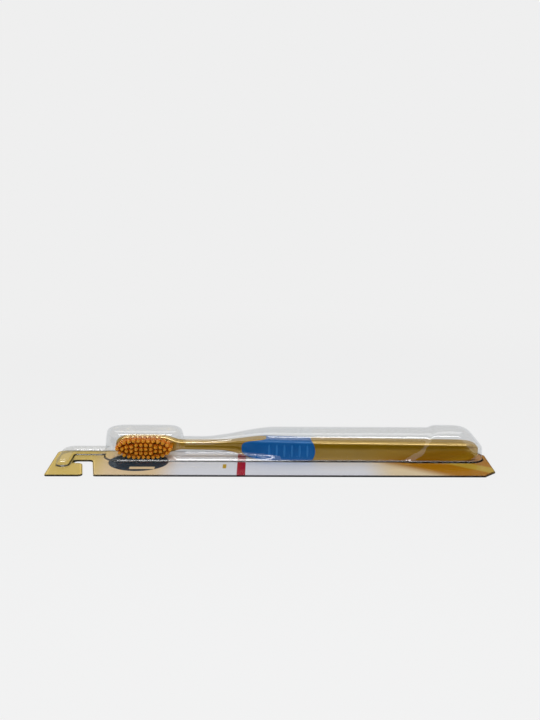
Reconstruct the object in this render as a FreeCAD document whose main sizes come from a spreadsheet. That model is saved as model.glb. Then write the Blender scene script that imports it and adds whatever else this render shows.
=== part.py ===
import FreeCAD, Part
import math
import os
import PartDesign
import Sketcher

# A manual toothbrush sealed in its pack: a printed card with a side-entry hang slot, and a clear
# thermoformed film blister that holds the brush on its side.
# Frame: origin under the middle of the card, +X towards the handle end, +Y towards the card's back
# edge (the bristles point to -Y), +Z up.

# Driving dimensions in millimetres, with angles in degrees and counts as they are
SIZES = {
    # Backing card
    "card_thickness": 0.7,
    "hanger_length": 25.8,
    "end_margin": 3.2,
    "front_flange": 17.3,
    "back_flange": 3.2,
    "card_end_chamfer": 6.2,
    "card_back_radius": 3.5,
    "card_front_radius": 1.2,
    # Hang slot, cut through card and film
    "slot_width": 5.2,
    "slot_inset": 17.75,
    "slot_depth": 20.15,
    "slot_lean": 3.6,
    "notch_width": 4.7,
    "notch_reach": 4.6,
    "slot_mouth_radius": 1.3,
    "tongue_radius": 2.2,
    # Film blister
    "film_thickness": 0.4,
    "film_margin": 0.25,
    "draft_angle": 4,
    "rim_rise": 0.5,
    "rim_width": 0.9,
    "rim_front_width": 12.6,
    "shelf_height": 2.7,
    "head_bubble_corner_radius": 8.6,
    "head_bubble_edge_radius": 3.7,
    "low_edge_radius": 1.2,
    "head_bubble_length": 41.2,
    "neck_ridge_inset": 6.4,
    "neck_roof_gap": 5.4,
    "neck_flat_length": 10.6,
    "flare_lead": 8,
    "flare_radius": 16,
    "grip_roof_lead": 4,
    "roof_blend_radius": 10,
    "handle_edge_radius": 3,
    "bump_proud": 0.7,
    "bump_rise": 1.1,
    "bump_length": 41.4,
    "bump_ramp_length": 10.5,
    "bump_ramp_height": 6.3,
    "bump_slant": 5,
    "bump_end_run": 7.6,
    "bump_end_drop": 9.2,
    "bump_corner_radius": 6.2,
    "bump_edge_radius": 3.4,
    "ridge_height": 4.5,
    "ridge_width": 6.6,
    "ridge_margin": 3.4,
    "ridge_end_margin": 10,
    "ridge_turn_radius": 6.5,
    "ridge_end_radius": 2.8,
    # Room between brush and film
    "seat_gap": 0.15,
    "head_gap": 4.8,
    "end_gap": 1.6,
    "front_gap": 2.2,
    "back_gap": 2.3,
    "head_roof_gap": 6.3,
    "grip_roof_gap": 4.2,
    # Brush handle, one moulding from head to tail
    "brush_length": 185,
    "head_length": 34,
    "head_width": 10.2,
    "head_thickness": 4,
    "head_edge_bevel": 0.45,
    "neck_width": 4.9,
    "neck_thickness": 4.6,
    "neck_depth": 10.8,
    "neck_station": 42,
    "swell_start": 54,
    "swell_end": 77,
    "grip_width": 11.3,
    "grip_thickness": 9.4,
    "grip_depth": 6.1,
    "handle_width": 9.9,
    "handle_thickness": 8.6,
    "handle_depth": 5.2,
    "tail_length": 12,
    # Soft grip, moulded over the handle
    "grip_wall": 1.3,
    "grip_start": 64.6,
    "grip_length": 37.3,
    "grip_nose_length": 11,
    "grip_end_bulge": 1.2,
    "rib_count": 6,
    "rib_pitch": 3.86,
    "rib_width": 1.1,
    "rib_length": 6.4,
    "rib_rise": 0.35,
    "rib_end_margin": 4,
    # Bristle tufts and their anchors
    "tuft_length": 9,
    "tuft_diameter": 1.5,
    "tuft_tip_diameter": 0.8,
    "tuft_tip_length": 1.8,
    "tuft_gap": 0.1,
    "tuft_hole_depth": 2.6,
    "tuft_field_middle": 15,
    "column_pitch": 2.45,
    "row_pitch": 1.9,
    "anchor_gap": 0.045,
    "anchor_height": 1.4,
    "anchor_thickness": 0.3,
    "anchor_floor": 0.5,
    # How far a cutting shape runs past what it cuts
    "overrun": 1,
}

doc = FreeCAD.newDocument("toothbrush_pack")
sheet = doc.addObject("Spreadsheet::Sheet", "Sizes")
for row, (name, number) in enumerate(SIZES.items(), start=1):
    sheet.set(f"A{row}", name)
    sheet.set(f"B{row}", str(number))
    sheet.setAlias(f"B{row}", name)
doc.recompute()


def cell(name):
    """The expression that reads one cell of the sheet."""
    return f"Sizes.{name}"


def value(expression):
    """The number that an expression comes to now."""
    number = sheet.evalExpression(expression)
    return float(getattr(number, "Value", number))


def mix(first, second, share):
    """The expression for a size that lies between two others."""
    return f"({first} + ({second} - {first}) * {share})"


# Places that several pieces share, worked out from the driving dimensions
film = cell("film_thickness")
card_length = (
    "(Sizes.hanger_length + Sizes.head_gap + Sizes.brush_length + Sizes.end_gap"
    " + 2 * Sizes.film_thickness + Sizes.end_margin)"
)
bubble_depth = "(Sizes.front_gap + Sizes.tuft_length + Sizes.head_thickness + Sizes.back_gap)"
card_width = f"(Sizes.front_flange + {bubble_depth} + Sizes.back_flange)"
card_left = f"(-{card_length} / 2)"
card_right = f"({card_length} / 2)"
card_front = f"(-{card_width} / 2)"
card_back = f"({card_width} / 2)"
card_top = cell("card_thickness")
bubble_left = f"({card_left} + Sizes.hanger_length)"
bubble_right = f"({card_right} - Sizes.end_margin)"
bubble_front = f"({card_front} + Sizes.front_flange)"
bubble_back = f"({card_back} - Sizes.back_flange)"
brush_start = f"({bubble_left} + {film} + Sizes.head_gap)"
tip_plane = f"({bubble_front} + Sizes.front_gap)"


def origin_plane(body, role):
    """One of a body's own three base planes."""
    for feature in body.Origin.OriginFeatures:
        if feature.Role == role:
            return feature


def sketch_on(body, name, role, offset):
    """A sketch on a base plane of its body, moved along the plane's normal."""
    sketch = body.newObject("Sketcher::SketchObject", name)
    sketch.AttachmentSupport = [(origin_plane(body, role), "")]
    sketch.MapMode = "FlatFace"
    sketch.setExpression("AttachmentOffset.Base.z", offset)
    return sketch


ORIGIN = (-1, 1)
AXIS_OF = {"DistanceX": -2, "DistanceY": -1}
START = 1
END = 2


def hold(sketch, kind, geometry, corner, expression):
    """Bind one coordinate of a point to an expression, or to an axis where it is zero."""
    number = value(expression)
    if number == 0:
        sketch.addConstraint(Sketcher.Constraint("PointOnObject", geometry, corner, AXIS_OF[kind]))
        return
    if number < 0:
        rule = Sketcher.Constraint(kind, geometry, corner, *ORIGIN, -number)
        expression = f"-({expression})"
    else:
        rule = Sketcher.Constraint(kind, *ORIGIN, geometry, corner, number)
    index = sketch.addConstraint(rule)
    sketch.setExpression(f"Constraints[{index}]", expression)


def polygon(sketch, points):
    """A closed outline of straight lines whose corners are pairs of expressions."""
    corners = [FreeCAD.Vector(value(x), value(y), 0) for x, y in points]
    first = sketch.GeometryCount
    count = len(corners)
    for i in range(count):
        sketch.addGeometry(Part.LineSegment(corners[i], corners[(i + 1) % count]))
    for i in range(count):
        following = first + (i + 1) % count
        sketch.addConstraint(Sketcher.Constraint("Coincident", first + i, END, following, START))
    for i, (x, y) in enumerate(points):
        hold(sketch, "DistanceX", first + i, START, x)
        hold(sketch, "DistanceY", first + i, START, y)


def box_points(left, front, right, back):
    """The four corners of a rectangle given by its sides."""
    return [(left, front), (right, front), (right, back), (left, back)]


def pad(body, name, sketch, length):
    """A straight extrusion of a sketch."""
    feature = body.newObject("PartDesign::Pad", name)
    feature.Profile = sketch
    feature.setExpression("Length", length)
    body.Tip = feature
    return feature


def pocket_through(body, name, sketch):
    """A cut of a sketch through the whole body, both ways."""
    before = body.Shape.Volume
    feature = body.newObject("PartDesign::Pocket", name)
    feature.Profile = sketch
    feature.Type = "ThroughAll"
    feature.SideType = "Symmetric"
    body.Tip = feature
    doc.recompute()
    if not body.Shape.Volume < before:
        raise RuntimeError(f"{name} cuts nothing")
    return feature


def dress(body, kind, name, base, edges, prop, expression):
    """A fillet or chamfer on the named edges of a feature."""
    feature = body.newObject(f"PartDesign::{kind}", name)
    feature.Base = (base, edges)
    feature.setExpression(prop, expression)
    body.Tip = feature
    doc.recompute()
    return feature


def edge_names(shape, wanted):
    """The names of the edges of a shape that pass a test."""
    return [f"Edge{i}" for i, edge in enumerate(shape.Edges, start=1) if wanted(edge)]


def is_upright(edge):
    """True for a wall's corner edge, which climbs more than it travels."""
    bottom, top = edge.BoundBox.ZMin, edge.BoundBox.ZMax
    across = max(edge.BoundBox.XLength, edge.BoundBox.YLength)
    return top - bottom > across


def upright_near(shape, x, y, reach):
    """The names of the upright edges whose foot stands near a place in plan."""

    def wanted(edge):
        foot = min((v.Point for v in edge.Vertexes), key=lambda point: point.z)
        return is_upright(edge) and math.hypot(foot.x - value(x), foot.y - value(y)) < reach

    return edge_names(shape, wanted)


def face_climb(face):
    """The upward part of a face's outward normal at its middle."""
    u_low, u_high, v_low, v_high = face.ParameterRange
    return face.normalAt((u_low + u_high) / 2, (v_low + v_high) / 2).z


ROOF_CLIMB_SHARE = 0.88


def roof_edges(shape, roofs_wanted):
    """The names of the edges that have a given number of roof faces beside them."""

    def wanted(edge):
        beside = shape.ancestorsOfType(edge, Part.Face)
        roofs = [face for face in beside if face_climb(face) > ROOF_CLIMB_SHARE]
        return len(beside) == 2 and len(roofs) == roofs_wanted and not edge.BoundBox.ZMin < shape_floor

    shape_floor = shape.BoundBox.ZMin + value(cell("film_thickness")) / 2
    return edge_names(shape, wanted)


def free_edges(shape, first_x):
    """The names of the edges beyond a place along x that touch neither a roof nor the floor."""

    def wanted(edge):
        beside = shape.ancestorsOfType(edge, Part.Face)
        level = [face for face in beside if abs(face_climb(face)) > ROOF_CLIMB_SHARE]
        return not level and edge.BoundBox.XMin > value(first_x)

    return edge_names(shape, wanted)


# Backing card: die-cut board, rounded at the hanger end and clipped at the handle end
slot_end_x = f"({card_left} + Sizes.slot_inset)"
slot_end_y = f"({card_front} + Sizes.slot_depth)"
half_slot = "(Sizes.slot_width / 2)"
half_notch = "(Sizes.notch_width / 2)"
NOTCH_ROUND_SHARE = 0.45


def cut_hang_slot(body, name, bottom):
    """Cut the leaning entry and the side notch, with a round end, through a flat sheet."""
    entry = sketch_on(body, f"{name}_entry", "XY_Plane", bottom)
    mouth_x = f"({slot_end_x} + Sizes.slot_lean)"
    mouth_y = f"({card_front} - Sizes.overrun)"
    lean_overrun = "(Sizes.overrun * Sizes.slot_lean / Sizes.slot_depth)"
    polygon(entry, [
        (f"{mouth_x} - {half_slot} + {lean_overrun}", mouth_y),
        (f"{mouth_x} + {half_slot} + {lean_overrun}", mouth_y),
        (f"{slot_end_x} + {half_slot}", slot_end_y),
        (f"{slot_end_x} - {half_slot}", slot_end_y),
    ])
    pocket_through(body, f"{name}_entry_cut", entry)
    notch = sketch_on(body, f"{name}_notch", "XY_Plane", bottom)
    polygon(notch, box_points(
        f"{slot_end_x} - Sizes.notch_reach - {half_notch}", f"{slot_end_y} - {half_notch}",
        f"{slot_end_x} + {half_slot}", f"{slot_end_y} + {half_notch}",
    ))
    cut = pocket_through(body, f"{name}_notch_cut", notch)
    reach = value(half_notch) / 2
    ends = []
    for x, y in (
        (f"{slot_end_x} - Sizes.notch_reach - {half_notch}", f"{slot_end_y} - {half_notch}"),
        (f"{slot_end_x} - Sizes.notch_reach - {half_notch}", f"{slot_end_y} + {half_notch}"),
        (f"{slot_end_x} + {half_slot}", f"{slot_end_y} + {half_notch}"),
    ):
        ends += upright_near(cut.Shape, x, y, reach)
    round_end = f"Sizes.notch_width * {NOTCH_ROUND_SHARE}"
    cut = dress(body, "Fillet", f"{name}_round_ends", cut, ends, "Radius", round_end)
    tongue_x = f"({slot_end_x} - {half_slot} + Sizes.slot_lean * {half_notch} / Sizes.slot_depth)"
    tongue = upright_near(cut.Shape, tongue_x, f"{slot_end_y} - {half_notch}", reach)
    tongue += upright_near(cut.Shape, f"{mouth_x} - {half_slot}", card_front, reach)
    cut = dress(body, "Fillet", f"{name}_tongue", cut, tongue, "Radius", cell("tongue_radius"))
    mouth = upright_near(cut.Shape, f"{mouth_x} + {half_slot}", card_front, reach)
    return dress(body, "Fillet", f"{name}_mouth", cut, mouth, "Radius", cell("slot_mouth_radius"))


def flat_sheet(name, bottom, thickness, margin):
    """A sheet cut to the card's outline, held in from it by a margin, with the hang slot."""
    body = doc.addObject("PartDesign::Body", name)
    outline = sketch_on(body, f"{name}_outline", "XY_Plane", bottom)
    left, right = f"{card_left} + {margin}", f"{card_right} - {margin}"
    front, back = f"{card_front} + {margin}", f"{card_back} - {margin}"
    polygon(outline, box_points(left, front, right, back))
    plate = pad(body, f"{name}_plate", outline, thickness)
    doc.recompute()
    reach = value(cell("card_front_radius"))
    for corner, x, y, kind, prop, size_name in (
        ("front_end", right, front, "Chamfer", "Size", "card_end_chamfer"),
        ("back_end", right, back, "Chamfer", "Size", "card_end_chamfer"),
        ("back_hanger", left, back, "Fillet", "Radius", "card_back_radius"),
        ("front_hanger", left, front, "Fillet", "Radius", "card_front_radius"),
    ):
        edges = edge_names(plate.Shape, lambda edge: (
            edge.BoundBox.ZLength > value(thickness) / 2
            and abs(edge.BoundBox.XMin - value(x)) < reach / 2
            and abs(edge.BoundBox.YMin - value(y)) < reach / 2
        ))
        plate = dress(body, kind, f"{name}_{corner}", plate, edges, prop, cell(size_name))
    cut_hang_slot(body, name, bottom)
    return body


card = flat_sheet("backing_card", f"0 * {card_top}", card_top, "0 * Sizes.film_margin")


# Film blister: one sheet drawn over a mould. Each form of the mould is made twice, as the film's
# outside and, set in by the film's thickness, as the hollow under it.
head_height = "(Sizes.seat_gap + Sizes.head_width + Sizes.head_roof_gap)"
neck_height = "(Sizes.seat_gap + Sizes.neck_width + Sizes.neck_roof_gap)"
handle_height = "(Sizes.seat_gap + Sizes.grip_width + Sizes.grip_roof_gap)"
bump_height = f"({handle_height} + Sizes.bump_rise)"
head_bubble_right = f"({bubble_left} + Sizes.head_bubble_length)"
neck_front = f"({bubble_front} + Sizes.neck_ridge_inset)"
grip_rise_x = f"({brush_start} + Sizes.grip_start)"
grip_full_x = f"({grip_rise_x} + Sizes.grip_nose_length)"


def drafted_form(name, points, height, corners):
    """A form of the mould: an outline drawn up, its upright corners rounded, its walls leaned in."""
    body = doc.addObject("PartDesign::Body", name)
    outline = sketch_on(body, f"{name}_outline", "XY_Plane", card_top)
    polygon(outline, points)
    form = pad(body, f"{name}_walls", outline, height)
    doc.recompute()
    for index, (spot, radius) in enumerate(corners):
        x, y = points[spot]
        edges = upright_near(form.Shape, x, y, value(film))
        form = dress(body, "Fillet", f"{name}_corner_{index}", form, edges, "Radius", radius)
    walls = []
    floor = None
    for index, face in enumerate(form.Shape.Faces, start=1):
        climb = face_climb(face)
        if abs(climb) < ROOF_CLIMB_SHARE:
            walls.append(f"Face{index}")
        elif climb < 0:
            floor = f"Face{index}"
    draft = body.newObject("PartDesign::Draft", f"{name}_draft")
    draft.Base = (form, walls)
    draft.NeutralPlane = (form, [floor])
    draft.setExpression("Angle", cell("draft_angle"))
    draft.Reversed = False
    body.Tip = draft
    doc.recompute()
    return body, draft


def round_rim(body, name, form, radius):
    """Round the edge where a form's walls meet its roof."""
    return dress(body, "Fillet", f"{name}_rim", form, roof_edges(form.Shape, 1), "Radius", radius)


def ease_rim(body, name, form, width):
    """Break the edge where a low form's walls meet its roof."""
    return dress(body, "Chamfer", f"{name}_rim", form, roof_edges(form.Shape, 1), "Size", width)


def mould_forms(tag, inset):
    """The raised forms of the blister, all set in by the same thickness."""
    forms = {}
    head_corner = f"(Sizes.head_bubble_corner_radius - {inset})"
    bump_corner = f"(Sizes.bump_corner_radius - {inset})"
    low_edge = f"(Sizes.low_edge_radius - {inset})"
    front, back = f"{bubble_front} + {inset}", f"{bubble_back} - {inset}"
    left, right = f"{bubble_left} + {inset}", f"{bubble_right} - {inset}"

    # Shallow rim that stiffens the flange round the bubbles
    rim_front = f"{bubble_front} - Sizes.rim_front_width + {inset}"
    rim_left = f"{bubble_left} - Sizes.rim_width + {inset}"
    rim_right = f"{bubble_right} + Sizes.rim_width - {inset}"
    rim_back = f"{bubble_back} + Sizes.rim_width - {inset}"
    rim_points = box_points(rim_left, rim_front, rim_right, rim_back)
    body, form = drafted_form(
        f"rim_{tag}", rim_points, f"Sizes.rim_rise + {film} - {inset}",
        [(spot, low_edge) for spot in range(len(rim_points))],
    )
    forms["rim"] = body

    # Low shelf along the whole brush, which shows in front of the neck
    shelf_points = box_points(left, front, right, back)
    body, form = drafted_form(
        f"shelf_{tag}", shelf_points, f"Sizes.shelf_height + {film} - {inset}",
        [(0, head_corner), (1, bump_corner), (2, bump_corner), (3, head_corner)],
    )
    ease_rim(body, f"shelf_{tag}", form, low_edge)
    forms["shelf"] = body

    # Head bubble
    head_points = box_points(left, front, f"{head_bubble_right} - {inset}", back)
    body, form = drafted_form(
        f"head_bubble_{tag}", head_points, f"{head_height} - {inset}",
        [(spot, head_corner) for spot in range(len(head_points))],
    )
    round_rim(body, f"head_bubble_{tag}", form, f"(Sizes.head_bubble_edge_radius - {inset})")
    forms["head_bubble"] = body

    # Ridge over the neck that flares out into the long bubble over grip and handle
    flare_start = f"({grip_rise_x} - Sizes.flare_lead)"
    flare_end = f"({grip_full_x} + Sizes.flare_lead)"
    flare_turn = f"atan(Sizes.neck_ridge_inset / ({flare_end} - {flare_start}))"
    flare_shift = f"{inset} * tan({flare_turn} / 2)"
    neck_left = f"({head_bubble_right} - 2 * Sizes.head_bubble_corner_radius)"
    handle_right = f"({bubble_right} - Sizes.bump_length / 2 - {inset})"
    handle_points = [
        (neck_left, f"{neck_front} + {inset}"),
        (f"{flare_start} + {flare_shift}", f"{neck_front} + {inset}"),
        (f"{flare_end} + {flare_shift}", front),
        (handle_right, front),
        (handle_right, back),
        (neck_left, back),
    ]
    body, form = drafted_form(
        f"handle_bubble_{tag}", handle_points, f"{handle_height} - {inset}",
        [(1, f"Sizes.flare_radius + {inset}"), (2, f"Sizes.flare_radius - {inset}")],
    )
    roof = sketch_on(body, f"handle_roof_{tag}", "XZ_Plane", f"0 * {film}")
    neck_roof = f"{card_top} + {neck_height} - {inset}"
    handle_roof = f"{card_top} + {handle_height} - {inset}"
    roof_start = f"{head_bubble_right} + Sizes.neck_flat_length"
    roof_end = f"{grip_full_x} + Sizes.grip_roof_lead"
    polygon(roof, [
        (f"{neck_left} - Sizes.overrun", neck_roof),
        (roof_start, neck_roof),
        (roof_end, handle_roof),
        (roof_end, f"{handle_roof} + Sizes.overrun"),
        (f"{neck_left} - Sizes.overrun", f"{handle_roof} + Sizes.overrun"),
    ])
    form = pocket_through(body, f"handle_roof_cut_{tag}", roof)
    form = dress(
        body, "Fillet", f"handle_roof_blend_{tag}", form, roof_edges(form.Shape, 2), "Radius",
        cell("roof_blend_radius"),
    )
    round_rim(body, f"handle_bubble_{tag}", form, f"(Sizes.handle_edge_radius - {inset})")
    forms["handle_bubble"] = body

    # Taller bump over the tail: it rises from the handle in a flat ramp and a steep step, and slopes
    # down at its far end
    bump_left = f"({bubble_right} - Sizes.bump_length)"
    bump_points = box_points(
        bump_left, f"{front} - Sizes.bump_proud", right, f"{back} + Sizes.bump_proud",
    )
    body, form = drafted_form(f"bump_{tag}", bump_points, f"{bump_height} - {inset}", [])
    step = sketch_on(body, f"bump_step_{tag}", "XZ_Plane", f"0 * {film}")
    ramp_lean = "(Sizes.bump_ramp_length / Sizes.bump_ramp_height)"
    ramp_foot = f"({bump_left} + {inset} * sqrt(1 + {ramp_lean}^2))"
    step_lean = f"(Sizes.bump_slant / ({bump_height} - Sizes.bump_ramp_height))"
    knee_x = f"({ramp_foot} + Sizes.bump_ramp_length)"
    knee_z = f"({card_top} + Sizes.bump_ramp_height)"
    step_low = f"{card_top} - Sizes.overrun"
    step_high = f"{card_top} + {bump_height} + Sizes.overrun"
    polygon(step, [
        (f"{bump_left} - Sizes.overrun", step_low),
        (f"{ramp_foot} - Sizes.overrun * {ramp_lean}", step_low),
        (knee_x, knee_z),
        (f"{knee_x} + ({step_high} - {knee_z}) * {step_lean}", step_high),
        (f"{bump_left} - Sizes.overrun", step_high),
    ])
    form = pocket_through(body, f"bump_step_cut_{tag}", step)
    slope = sketch_on(body, f"bump_end_{tag}", "XZ_Plane", f"0 * {film}")
    end_lean = "(Sizes.bump_end_run / Sizes.bump_end_drop)"
    slope_foot = f"({bubble_right} + Sizes.overrun - {inset} * sqrt(1 + {end_lean}^2))"
    slope_low = f"({card_top} + {bump_height} - Sizes.bump_end_drop - Sizes.overrun / {end_lean})"
    polygon(slope, [
        (slope_foot, slope_low),
        (slope_foot, step_high),
        (f"{slope_foot} - ({step_high} - {slope_low}) * {end_lean}", step_high),
    ])
    form = pocket_through(body, f"bump_end_cut_{tag}", slope)
    end_edges = free_edges(form.Shape, f"{bubble_right} - 2 * Sizes.bump_end_run")
    form = dress(body, "Fillet", f"bump_end_round_{tag}", form, end_edges, "Radius", bump_corner)
    round_rim(body, f"bump_{tag}", form, f"(Sizes.bump_edge_radius - {inset})")
    forms["bump"] = body

    # Hooked ridge that stiffens the hanger round its slot
    ridge_left = f"({card_left} + Sizes.ridge_margin)"
    ridge_end = f"({card_front} + Sizes.ridge_end_margin)"
    ridge_root = f"({bubble_left} + 2 * Sizes.head_bubble_corner_radius)"
    ridge_points = [
        (f"{ridge_left} + {inset}", f"{ridge_end} + {inset}"),
        (f"{ridge_left} + Sizes.ridge_width - {inset}", f"{ridge_end} + {inset}"),
        (f"{ridge_left} + Sizes.ridge_width - {inset}", f"{bubble_back} - Sizes.ridge_width + {inset}"),
        (ridge_root, f"{bubble_back} - Sizes.ridge_width + {inset}"),
        (ridge_root, back),
        (f"{ridge_left} + {inset}", back),
    ]
    ridge_end_radius = f"(Sizes.ridge_end_radius - {inset})"
    body, form = drafted_form(
        f"hanger_ridge_{tag}", ridge_points, f"Sizes.ridge_height - {inset}",
        [
            (0, ridge_end_radius),
            (1, ridge_end_radius),
            (2, f"(Sizes.low_edge_radius + {inset})"),
            (5, f"(Sizes.ridge_turn_radius - {inset})"),
        ],
    )
    ease_rim(body, f"hanger_ridge_{tag}", form, low_edge)
    forms["hanger_ridge"] = body
    return forms


flange = flat_sheet("film_flange", card_top, film, cell("film_margin"))
outer_forms = mould_forms("outer", f"0 * {film}")
inner_forms = mould_forms("inner", film)
outside = doc.addObject("Part::MultiFuse", "film_outside")
outside.Shapes = [flange] + list(outer_forms.values())
hollow = doc.addObject("Part::MultiFuse", "film_hollow")
hollow.Shapes = list(inner_forms.values())
blister = doc.addObject("Part::Cut", "blister")
blister.Base = outside
blister.Tool = hollow


# Brush handle: head plate, neck and handle in one moulding. The brush is drawn in its own frame, with
# x from the head's end to the tail, the bristle tips at y = 0 and its middle plane at z = 0, and then
# laid on its side in the pack.
HEAD_OUTLINE_SHARES = ((0, 0.38), (0.115, 0.84), (0.26, 1), (0.72, 1))
HEAD_CORNER_SHARES = (0.6, 1.6, 3.5, 2.6)
GRIP_END_SHARE = 0.6
CORNER_SHARE = 0.22
CORNER_FLATS = 3
SWELL_STEPS = 5
TAIL_STEPS = 5
TAIL_END_SHARE = 0.93
TAIL_BLUNTNESS = 3
head_middle = "(Sizes.tuft_length + Sizes.head_thickness / 2)"
half_head = "(Sizes.head_width / 2)"
grip_end = "(Sizes.grip_start + Sizes.grip_length)"
tail_start = "(Sizes.brush_length - Sizes.tail_length)"


def named_section(name):
    """The depth, thickness and width of one of the handle's named sections."""
    return cell(f"{name}_depth"), cell(f"{name}_thickness"), cell(f"{name}_width")


def between(first, second, share):
    """A section that lies between two named ones."""
    pairs = zip(named_section(first), named_section(second))
    return tuple(mix(low, high, share) for low, high in pairs)


def handle_sections():
    """Every section of the handle: its station, then the depth of its middle, thickness and width."""
    root = (head_middle, cell("head_thickness"), cell("neck_width"))
    sections = [
        ("Sizes.head_length - Sizes.neck_thickness", root),
        (cell("neck_station"), named_section("neck")),
    ]
    for step in range(SWELL_STEPS + 1):
        along = step / SWELL_STEPS
        swell_share = along * along * (3 - 2 * along)
        station = mix(cell("swell_start"), cell("swell_end"), along)
        sections.append((station, between("neck", "grip", swell_share)))
    sections.append((grip_end, between("grip", "handle", GRIP_END_SHARE)))
    depth, thickness, width = named_section("handle")
    last_turn = math.asin(TAIL_END_SHARE ** (TAIL_BLUNTNESS / 2))
    for step in range(TAIL_STEPS + 1):
        turn = last_turn * step / TAIL_STEPS
        along_share = math.sin(turn) ** (2 / TAIL_BLUNTNESS) / TAIL_END_SHARE
        size_share = math.cos(turn) ** (2 / TAIL_BLUNTNESS)
        station = mix(tail_start, cell("brush_length"), along_share)
        sections.append((station, (depth, f"({thickness} * {size_share})", f"({width} * {size_share})")))
    return sections


def rounded_section(sketch, depth, thickness, width):
    """A rounded rectangle across the brush, each corner turned in a few short flats."""
    radius = f"({CORNER_SHARE} * min({thickness}; {width}))"
    points = []
    for quarter, (side_y, side_z) in enumerate(((1, 1), (-1, 1), (-1, -1), (1, -1))):
        for step in range(CORNER_FLATS + 1):
            turn = math.pi / 2 * (quarter + step / CORNER_FLATS)
            y = f"{depth} + {side_y} * ({thickness} / 2 - {radius}) + {radius} * {math.cos(turn):.6f}"
            z = f"{side_z} * ({width} / 2 - {radius}) + {radius} * {math.sin(turn):.6f}"
            points.append((y, z))
    polygon(sketch, points)


def handle_loft(body, name, sections, outset):
    """A body drawn through sections of the handle, each grown all round by an outset."""
    sketches = []
    for index, (station, (depth, thickness, width)) in enumerate(sections):
        sketch = sketch_on(body, f"{name}_section_{index}", "YZ_Plane", station)
        rounded_section(sketch, depth, f"({thickness} + 2 * {outset})", f"({width} + 2 * {outset})")
        sketches.append(sketch)
    loft = body.newObject("PartDesign::AdditiveLoft", f"{name}_loft")
    loft.Profile = sketches[0]
    loft.Sections = sketches[1:]
    loft.Ruled = True
    body.Tip = loft
    doc.recompute()
    return loft


def head_blank(body):
    """The head plate: an oval drawn back from its face, with eased edges."""
    sketch = sketch_on(body, "head_outline", "XZ_Plane", "-Sizes.tuft_length")
    upper = [(f"Sizes.head_length * {x}", f"{half_head} * {z}") for x, z in HEAD_OUTLINE_SHARES]
    upper.append((cell("head_length"), "Sizes.neck_width / 2"))
    lower = [(x, f"-({z})") for x, z in upper]
    polygon(sketch, lower + upper[::-1])
    plate = pad(body, "head_plate", sketch, cell("head_thickness"))
    plate.Reversed = True
    doc.recompute()
    for index, share in enumerate(HEAD_CORNER_SHARES):
        x, z = upper[index]

        def is_corner(edge):
            middle = edge.CenterOfMass
            across = math.hypot(middle.x - value(x), abs(middle.z) - value(z))
            return edge.BoundBox.YLength > value(cell("head_thickness")) / 2 and across < value(film)

        corners = edge_names(plate.Shape, is_corner)
        plate = dress(
            body, "Fillet", f"head_corner_{index}", plate, corners, "Radius", f"{half_head} * {share}",
        )

    def is_outline(edge):
        flat = edge.BoundBox.YLength < value(film) / 2
        return flat and edge.CenterOfMass.x < value(cell("head_length")) - value(film)

    return dress(
        body, "Chamfer", "head_edges", plate, edge_names(plate.Shape, is_outline), "Size",
        cell("head_edge_bevel"),
    )


def boolean(kind, name, base, tool):
    """A cut, fuse or common of two objects."""
    feature = doc.addObject(f"Part::{kind}", name)
    feature.Base = base
    feature.Tool = tool
    return feature


blank = doc.addObject("PartDesign::Body", "handle_blank")
head_blank(blank)
all_sections = handle_sections()
handle_loft(blank, "handle_blank", all_sections, f"0 * {film}")

# Soft grip: a sleeve moulded into a recess round the handle, with a bullet nose and six ribs
NOSE_SHARES = ((0, 0.3), (0.09, 0.5), (0.24, 0.65))
END_SHARES = ((0.3, 0.7), (0, 0.3))
grip_sections = [
    section for section in all_sections
    if value(cell("neck_station")) <= value(section[0]) <= value(tail_start)
]
core = doc.addObject("PartDesign::Body", "grip_core")
handle_loft(core, "grip_core", grip_sections, "-Sizes.grip_wall")
proud = doc.addObject("PartDesign::Body", "grip_ribs_envelope")
handle_loft(proud, "grip_ribs_envelope", grip_sections, cell("rib_rise"))

zone = doc.addObject("PartDesign::Body", "grip_zone")
zone_sketch = sketch_on(zone, "grip_outline", "XZ_Plane", "Sizes.overrun")
half_grip = "(Sizes.grip_width / 2)"
zone_half_width = f"({half_grip} + Sizes.overrun)"
zone_upper = [
    (f"Sizes.grip_start + Sizes.grip_nose_length * {along}", f"{half_grip} * {across}")
    for along, across in NOSE_SHARES
]
zone_upper.append(("Sizes.grip_start + Sizes.grip_nose_length", zone_half_width))
zone_upper.append((f"{grip_end} - Sizes.grip_end_bulge", zone_half_width))
zone_upper += [
    (f"{grip_end} - Sizes.grip_end_bulge * {along}", f"{half_grip} * {across}")
    for along, across in END_SHARES
]
zone_lower = [(x, f"-({z})") for x, z in zone_upper]
polygon(zone_sketch, zone_lower + zone_upper[::-1])
zone_pad = pad(
    zone, "grip_zone_block", zone_sketch,
    "Sizes.grip_depth + Sizes.grip_thickness + Sizes.neck_depth + 2 * Sizes.overrun",
)
zone_pad.Reversed = True

rib_boxes = []
for index in range(int(value(cell("rib_count")))):
    rib = doc.addObject("Part::Box", f"rib_box_{index + 1}")
    rib.setExpression("Length", cell("rib_width"))
    rib.setExpression("Width", "Sizes.grip_depth + Sizes.overrun")
    rib.setExpression("Height", cell("rib_length"))
    rib.setExpression(
        "Placement.Base.x",
        f"{grip_end} - Sizes.rib_end_margin - {index} * Sizes.rib_pitch - Sizes.rib_width / 2",
    )
    rib.setExpression("Placement.Base.y", "-Sizes.overrun")
    rib.setExpression("Placement.Base.z", "-Sizes.rib_length / 2")
    rib_boxes.append(rib)
rib_stack = doc.addObject("Part::Compound", "rib_boxes")
rib_stack.Links = rib_boxes

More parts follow.
